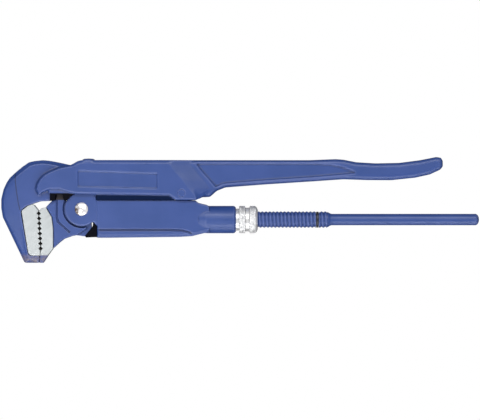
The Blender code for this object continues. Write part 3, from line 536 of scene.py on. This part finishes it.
def make_plugs(name, side):
    """Half diamonds for one block; side is -1 on the hook and +1 on the jaw."""
    work = bmesh.new()
    face = GRIP_GAP if side > 0 else 0.0
    cut_depth = 1.85 * MM
    half_mouth = 1.75 * MM
    half_width = 7.4 * MM
    for i in range(TOOTH_COUNT):
        y = FIRST_TOOTH_Y - i * TOOTH_PITCH
        corners = [(grip_line(y + half_mouth) + face, y + half_mouth),
                   (grip_line(y) + face + side * cut_depth, y),
                   (grip_line(y - half_mouth) + face, y - half_mouth)]
        bottom = [work.verts.new((a, b, AXIS_Z - half_width)) for a, b in corners]
        top = [work.verts.new((a, b, AXIS_Z + half_width)) for a, b in corners]
        work.faces.new(bottom)
        work.faces.new(top)
        for j in range(3):
            work.faces.new((bottom[j], bottom[j - 1], top[j - 1], top[j]))
    bmesh.ops.recalc_face_normals(work, faces=work.faces)
    return as_piece(work, name)


# black plugs painted as the shade deep in the notches
hook_shade_plugs = make_plugs("hook_shade_plugs", -1)
dress(hook_shade_plugs, SHADE_PLUG_BLACK, "arm", "spring_steel", "hook_insert")
jaw_shade_plugs = make_plugs("jaw_shade_plugs", 1)
dress(jaw_shade_plugs, SHADE_PLUG_BLACK, "jaw", "spring_steel", "jaw_insert")

# %% [markdown]
# ## Turned bars
# A lathe makes the rod and the nut, so a profile of (x, radius) is spun about the rod's axis.
# Long stretches that will carry a thread or a knurl get closely spaced rings.

# %% A helper that spins a profile
def fine(profile, step):
    """Put extra points along a profile so that none are further apart than step."""
    points = [profile[0]]
    for (x0, r0), (x1, r1) in zip(profile, profile[1:]):
        count = max(1, math.ceil(math.hypot(x1 - x0, r1 - r0) / step))
        for i in range(1, count + 1):
            points.append((x0 + (x1 - x0) * i / count, r0 + (r1 - r0) * i / count))
    return points


def spun(name, profile, segments, closed=False):
    """A profile in metres turned once about the rod's axis."""
    work = bmesh.new()
    verts = [work.verts.new((x, AXIS_Y + r, AXIS_Z)) for x, r in profile]
    for a, b in zip(verts, verts[1:]):
        work.edges.new((a, b))
    if closed:
        work.edges.new((verts[-1], verts[0]))
    bmesh.ops.spin(work, geom=work.verts[:] + work.edges[:], cent=(0, AXIS_Y, AXIS_Z), axis=(1, 0, 0),
                   angle=2 * math.pi, steps=segments, use_merge=True)
    bmesh.ops.remove_doubles(work, verts=work.verts, dist=1e-6)
    bmesh.ops.recalc_face_normals(work, faces=work.faces)
    for face in work.faces:
        face.smooth = True
    return as_piece(work, name)


# %% [markdown]
# ## Geometry Nodes that cut a thread and a knurl
# A thread is one groove wound round a bar, and a diamond knurl is many grooves wound both ways.
# Both follow the same rule: how far a point is along the bar, plus its angle, gives its place
# in the pattern.  One tree per pattern moves each point inwards by that rule.  A texture could
# fake it, but the outline against the light would stay straight.

# %% Helpers for Geometry Nodes
def start_tree(name, numbers):
    """A tree with a mesh in, numbers in, and a mesh out; returns it with its input node."""
    tree = bpy.data.node_groups.new(name, "GeometryNodeTree")
    tree.interface.new_socket("Geometry", in_out="INPUT", socket_type="NodeSocketGeometry")
    for label, value in numbers.items():
        socket = tree.interface.new_socket(label, in_out="INPUT", socket_type="NodeSocketFloat")
        socket.default_value = value
    tree.interface.new_socket("Material", in_out="INPUT", socket_type="NodeSocketMaterial")
    tree.interface.new_socket("Geometry", in_out="OUTPUT", socket_type="NodeSocketGeometry")
    return tree, tree.nodes.new("NodeGroupInput")


def sums(tree, operation, *values):
    """One math node; each value is a number or a socket."""
    node = tree.nodes.new("ShaderNodeMath")
    node.operation = operation
    for socket, value in zip(node.inputs, values):
        if isinstance(value, bpy.types.NodeSocket):
            tree.links.new(value, socket)
        else:
            socket.default_value = value
    return node.outputs[0]


def step_up(tree, value, low, high):
    """0 below low, 1 above high, smooth between."""
    node = tree.nodes.new("ShaderNodeMapRange")
    node.interpolation_type = "SMOOTHSTEP"
    tree.links.new(value, node.inputs["Value"])
    for key, limit in (("From Min", low), ("From Max", high)):
        if isinstance(limit, bpy.types.NodeSocket):
            tree.links.new(limit, node.inputs[key])
        else:
            node.inputs[key].default_value = limit
    return node.outputs["Result"]


def polar(tree):
    """Sockets for a point's x, its distance from the rod's axis, its turn round it, y and z."""
    place = tree.nodes.new("GeometryNodeInputPosition")
    parts = tree.nodes.new("ShaderNodeSeparateXYZ")
    tree.links.new(place.outputs[0], parts.inputs[0])
    y = sums(tree, "SUBTRACT", parts.outputs["Y"], AXIS_Y)
    z = sums(tree, "SUBTRACT", parts.outputs["Z"], AXIS_Z)
    squares = sums(tree, "ADD", sums(tree, "MULTIPLY", y, y), sums(tree, "MULTIPLY", z, z))
    radius = sums(tree, "SQRT", squares)
    turn = sums(tree, "DIVIDE", sums(tree, "ARCTAN2", z, y), 2 * math.pi)
    return parts.outputs["X"], radius, turn, y, z


def groove(tree, phase, width):
    """1 in the middle of a groove that repeats with each whole number of phase, 0 on the land."""
    saw = sums(tree, "FRACT", phase)
    away = sums(tree, "ABSOLUTE", sums(tree, "SUBTRACT", sums(tree, "MULTIPLY", saw, 2.0), 1.0))
    return sums(tree, "SUBTRACT", 1.0, step_up(tree, away, 0.08, width))


def end_tree(tree, entry, cut, radius, y, z):
    """Move every point inwards by cut, then realise, paint and hand over the mesh."""
    share = sums(tree, "DIVIDE", sums(tree, "MULTIPLY", cut, -1.0), sums(tree, "MAXIMUM", radius, 1e-5))
    offset = tree.nodes.new("ShaderNodeCombineXYZ")
    tree.links.new(sums(tree, "MULTIPLY", y, share), offset.inputs["Y"])
    tree.links.new(sums(tree, "MULTIPLY", z, share), offset.inputs["Z"])
    move = tree.nodes.new("GeometryNodeSetPosition")
    tree.links.new(entry.outputs["Geometry"], move.inputs["Geometry"])
    tree.links.new(offset.outputs[0], move.inputs["Offset"])
    realise = tree.nodes.new("GeometryNodeRealizeInstances")
    tree.links.new(move.outputs[0], realise.inputs[0])
    paint = tree.nodes.new("GeometryNodeSetMaterial")
    tree.links.new(realise.outputs[0], paint.inputs["Geometry"])
    tree.links.new(entry.outputs["Material"], paint.inputs["Material"])
    leave = tree.nodes.new("NodeGroupOutput")
    tree.links.new(paint.outputs[0], leave.inputs[0])


def apply_tree(obj, tree, values):
    """Run a tree on an object with its inputs set by name, and keep the plain result."""
    modifier = obj.modifiers.new(tree.name, "NODES")
    modifier.node_group = tree
    for item in tree.interface.items_tree:
        if item.item_type == "SOCKET" and item.in_out == "INPUT" and item.name in values:
            modifier[item.identifier] = values[item.name]
    return plain(obj)


# %% [markdown]
# ## One tree for the thread, one for the knurl
# The thread fades in and out at its two ends and leaves the ring's groove alone, because only
# points near the crest radius move.  The knurl is the same groove wound both ways at once.

# %% Thread tree and knurl tree
def thread_tree():
    tree, entry = start_tree("wound_thread", {"Pitch": 3.25 * MM, "Depth": 1.1 * MM, "Start": 0.0,
                                              "End": 0.08, "Crest Radius": 7.15 * MM})
    x, radius, turn, y, z = polar(tree)
    phase = sums(tree, "SUBTRACT", sums(tree, "DIVIDE", x, entry.outputs["Pitch"]), turn)
    cut = sums(tree, "MULTIPLY", groove(tree, phase, 0.80), entry.outputs["Depth"])
    first = step_up(tree, x, entry.outputs["Start"], sums(tree, "ADD", entry.outputs["Start"], 2 * MM))
    last = step_up(tree, x, sums(tree, "SUBTRACT", entry.outputs["End"], 2 * MM), entry.outputs["End"])
    threaded = sums(tree, "MULTIPLY", first, sums(tree, "SUBTRACT", 1.0, last))
    limit = sums(tree, "SUBTRACT", entry.outputs["Crest Radius"], 0.4 * MM)
    outside = sums(tree, "GREATER_THAN", radius, limit)
    cut = sums(tree, "MULTIPLY", cut, sums(tree, "MULTIPLY", threaded, outside))
    end_tree(tree, entry, cut, radius, y, z)
    return tree


def knurl_tree():
    tree, entry = start_tree("diamond_knurl", {"Count": 44.0, "Lead": 0.05, "Depth": 0.5 * MM,
                                               "Crest Radius": 12.05 * MM})
    x, radius, turn, y, z = polar(tree)
    along = sums(tree, "DIVIDE", x, entry.outputs["Lead"])
    right = sums(tree, "MULTIPLY", sums(tree, "ADD", turn, along), entry.outputs["Count"])
    left = sums(tree, "MULTIPLY", sums(tree, "SUBTRACT", turn, along), entry.outputs["Count"])
    both = sums(tree, "MAXIMUM", groove(tree, right, 0.75), groove(tree, left, 0.75))
    limit = sums(tree, "SUBTRACT", entry.outputs["Crest Radius"], 0.35 * MM)
    outside = sums(tree, "GREATER_THAN", radius, limit)
    cut = sums(tree, "MULTIPLY", sums(tree, "MULTIPLY", both, entry.outputs["Depth"]), outside)
    end_tree(tree, entry, cut, radius, y, z)
    return tree


THREAD_TREE = thread_tree()
KNURL_TREE = knurl_tree()
print("trees:", THREAD_TREE.name, KNURL_TREE.name)

# %% [markdown]
# ## The rod
# One bar: an eye on a bent neck that goes up to the arm, a threaded shank, a groove for the stop
# ring, and the plain round handle.  The neck is forged, so it is wrapped like the forgings; the
# rest is turned, and the two meet inside the collar, where nobody sees the change.

# %% Rod
NECK_END = NUT_LOW[0] - 12.0 * MM
THREAD_START = NUT_LOW[0] - 3.0 * MM
TAPER_START = STOP_HIGH[0] + 7.2 * MM
TAPER_END = TAPER_START + 4.0 * MM
TIP_X = ROD_HIGH[0]


def rod_profile():
    gap = 0.3 * MM
    depth = 1.6 * MM
    points = [(NECK_END - 3 * MM, 0.0), (NECK_END - 3 * MM, SHANK_RADIUS - 0.05 * MM)]
    points += [(STOP_LOW[0] - gap, SHANK_RADIUS), (STOP_LOW[0] - gap, SHANK_RADIUS - depth),
               (STOP_HIGH[0] + gap, SHANK_RADIUS - depth), (STOP_HIGH[0] + gap, SHANK_RADIUS)]
    points += [(TAPER_START, SHANK_RADIUS), (TAPER_END - 0.8 * MM, ROD_RADIUS + 0.35 * MM),
               (TAPER_END + 0.6 * MM, ROD_RADIUS)]
    round_length = 3.2 * MM
    steps = 8
    tip = []
    for i in range(steps + 1):
        angle = math.pi / 2 * i / steps
        tip.append((TIP_X - round_length + round_length * math.sin(angle), ROD_RADIUS * math.cos(angle)))
    tip[-1] = (TIP_X, 0.0)
    return fine(points, 0.33 * MM) + fine([points[-1], tip[0]], 3.0 * MM)[1:] + tip[1:]


bar = spun("rod_bar", rod_profile(), 56)
bar = apply_tree(bar, THREAD_TREE, {"Depth": 0.75 * MM, "Start": THREAD_START,
                                    "End": TAPER_START + 2.0 * MM, "Crest Radius": SHANK_RADIUS,
                                    "Material": PAINT})
neck = forged("handle_rod", "rod_neck", 0.55 * MM, 3, NECK_END)
dress(neck, PAINT, "rod", "blue_paint", "handle_rod")
dress(bar, PAINT, "rod", "blue_paint", "handle_rod")

# %% [markdown]
# ## The adjusting nut
# Two knurled rings with a smooth waist between them, chamfered on the outer side, and a neck
# that runs in the collar.  Its profile closes on itself through the bore.

# %% Nut
def nut_profile():
    low = NUT_LOW[0]
    body = low + 10.0 * MM
    end = NUT_HIGH[0]
    bore = SHANK_RADIUS + 0.3 * MM
    neck_radius = NUT_RADIUS - 2.45 * MM
    waist_radius = NUT_RADIUS - 1.6 * MM
    ring = 5.1 * MM
    neck = [(low, bore), (low, neck_radius), (body, neck_radius)]
    inner_ring = [(body, NUT_RADIUS - 0.6 * MM), (body + 0.6 * MM, NUT_RADIUS), (body + ring, NUT_RADIUS)]
    waist = [(body + ring + 0.5 * MM, waist_radius), (end - 7.4 * MM, waist_radius)]
    outer_ring = [(end - 6.9 * MM, NUT_RADIUS), (end - 2.4 * MM, NUT_RADIUS),
                  (end - 0.8 * MM, waist_radius)]
    face = [(end, NUT_RADIUS - 3.4 * MM), (end, bore + 0.2 * MM), (end, bore)]
    return neck + inner_ring + waist + outer_ring + face


nut = spun("nut_body", fine(nut_profile(), 0.28 * MM), 264, closed=True)
nut = apply_tree(nut, KNURL_TREE, {"Crest Radius": NUT_RADIUS, "Material": CHROME})
dress(nut, CHROME, "nut", "nut_chrome", "adjusting_nut")

# %% [markdown]
# ## Rivets, rings and the spring
# Small round parts keep the working model's shape; wrapping them in fine cells rounds their
# edges as a press or a hammer does.

# %% Small parts
def upset_pin():
    """The cross pin: its ends are upset into the walls' bores and ground flush with them."""
    low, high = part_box("anchor_pin")
    middle = Vector([(a + b) / 2 for a, b in zip(low, high)])
    thin = (high[0] - low[0]) / 2
    upset = thin + 0.36 * MM
    half = (high[2] - low[2]) / 2
    upset_length = 2.6 * MM
    profile = [(-half, 0.0), (-half, upset - 0.3 * MM), (-half + 0.15 * MM, upset),
               (-half + upset_length, upset), (-half + upset_length + 0.2 * MM, thin)]
    profile += [(-x, r) for x, r in reversed(profile)]
    work = bmesh.new()
    verts = [work.verts.new((middle.x + r, middle.y, middle.z + x)) for x, r in profile]
    for a, b in zip(verts, verts[1:]):
        work.edges.new((a, b))
    bmesh.ops.spin(work, geom=work.verts[:] + work.edges[:], cent=middle, axis=(0, 0, 1),
                   angle=2 * math.pi, steps=48, use_merge=True)
    bmesh.ops.remove_doubles(work, verts=work.verts, dist=1e-6)
    bmesh.ops.recalc_face_normals(work, faces=work.faces)
    return wrapped(as_piece(work, "cross_pin"), 0.35 * MM, 2)


rivet = forged("jaw_pin", "jaw_rivet", 0.30 * MM, 3)
dress(rivet, POLISHED, "frame", "ground_steel", "jaw_pin")
roof_rivet = forged("spring_rivet", "roof_rivet", 0.30 * MM, 3)
dress(roof_rivet, PAINT, "arm", "blue_paint", "spring_rivet")
anchor = upset_pin()
dress(anchor, PAINT, "arm", "blue_paint", "anchor_pin")
stop = forged("stop_ring", "stop_circlip", 0.25 * MM, 1)
dress(stop, SPRING, "rod", "spring_steel", "stop_ring")
keeper = forged("nut_retaining_ring", "nut_keeper", 0.25 * MM, 1)
dress(keeper, SPRING, "frame", "spring_steel", "nut_retaining_ring")
leaf = forged("leaf_spring", "roof_spring", 0.28 * MM, 2)
dress(leaf, SPRING, "arm", "spring_steel", "leaf_spring")

# %% [markdown]
# ## Floor, light and camera
# The tool lies on a pale sheet and is seen from straight above through a long lens, so that its
# flat side stays true.  Long soft boxes on both sides of the tool draw a light line along each
# round, a thin one near the lens brightens the collar, a low one lifts the lower edges and a
# small one the jaws; the sky fills the rest.

# %% Floor
def make_floor():
    work = bmesh.new()
    bmesh.ops.create_grid(work, x_segments=1, y_segments=1, size=3.0)
    bmesh.ops.translate(work, verts=work.verts, vec=(0, 0, CAD_BOX[0][2] - 0.2 * MM))
    floor = as_piece(work, "pale_sheet")
    material, tree, shader, place = new_material("pale_sheet")
    shader.inputs["Base Color"].default_value = (0.0, 0.0, 0.0, 1.0)
    shader.inputs["Roughness"].default_value = 1.0
    shader.inputs["Specular IOR Level"].default_value = 0.0
    shader.inputs["Emission Color"].default_value = (1.0, 1.0, 1.0, 1.0)
    shader.inputs["Emission Strength"].default_value = 1.0
    floor.data.materials.append(material)
    floor.visible_diffuse = False
    floor.visible_glossy = False


def soft_box(name, place, size, power, aim=(0.0, 0.0, 0.0)):
    light = bpy.data.lights.new(name, "AREA")
    light.shape = "RECTANGLE"
    light.size, light.size_y = size
    light.energy = power
    obj = bpy.data.objects.new(name, light)
    obj.location = place
    obj.rotation_euler = (Vector(aim) - Vector(place)).to_track_quat("-Z", "Y").to_euler()
    bpy.context.scene.collection.objects.link(obj)


def make_sky():
    """A dim sky straight above, lighter half way down and dark at the horizon."""
    world = bpy.data.worlds.new("sky")
    world.use_nodes = True
    tree = world.node_tree
    place = add_node(tree, "ShaderNodeTexCoord").outputs["Generated"]
    height = add_node(tree, "ShaderNodeSeparateXYZ", {"Vector": place}).outputs["Z"]
    low = ramp(tree, height, -0.1, 0.6, 0.10, 0.50)
    high = ramp(tree, height, 0.75, 0.98, 0.0, 0.36)
    level = add_node(tree, "ShaderNodeMath", {0: low, 1: high}, operation="SUBTRACT").outputs[0]
    background = tree.nodes["Background"]
    tree.links.new(level, background.inputs["Strength"])
    background.inputs["Color"].default_value = (1.0, 1.0, 1.0, 1.0)
    bpy.context.scene.world = world


make_floor()
soft_box("upper_box", (0.0, 0.80, 0.95), (1.6, 0.10), 8.5)
soft_box("lower_box", (-0.1, -0.90, 0.70), (1.6, 0.20), 6.5)
soft_box("head_box", (-0.28, -0.22, 0.70), (0.35, 0.35), 1.3, (-0.1, 0.0, 0.0))
soft_box("streak_box", (0.1, 0.30, 1.20), (1.4, 0.05), 2.2)
soft_box("low_box", (0.0, -0.80, 0.10), (1.6, 0.12), 2.8)
make_sky()

# %% [markdown]
# ## Camera
# A long lens from far away keeps the tool's flat side true, where a short lens near it would
# show the insides of the walls.

# %% Camera
CAMERA_DISTANCE = 3.0
VIEW_WIDTH = 0.4222
camera = bpy.data.cameras.new("camera")
camera.sensor_width = 36.0
camera.lens = camera.sensor_width * CAMERA_DISTANCE / VIEW_WIDTH
camera.clip_end = 20.0
camera_object = bpy.data.objects.new("camera", camera)
camera_object.location = (-0.0002, -0.0001, AXIS_Z + CAMERA_DISTANCE)
bpy.context.scene.collection.objects.link(camera_object)
bpy.context.scene.camera = camera_object
bpy.context.scene.view_settings.view_transform = "Standard"
print("camera at", tuple(round(c, 4) for c in camera_object.location), "lens, mm:", round(camera.lens, 1))
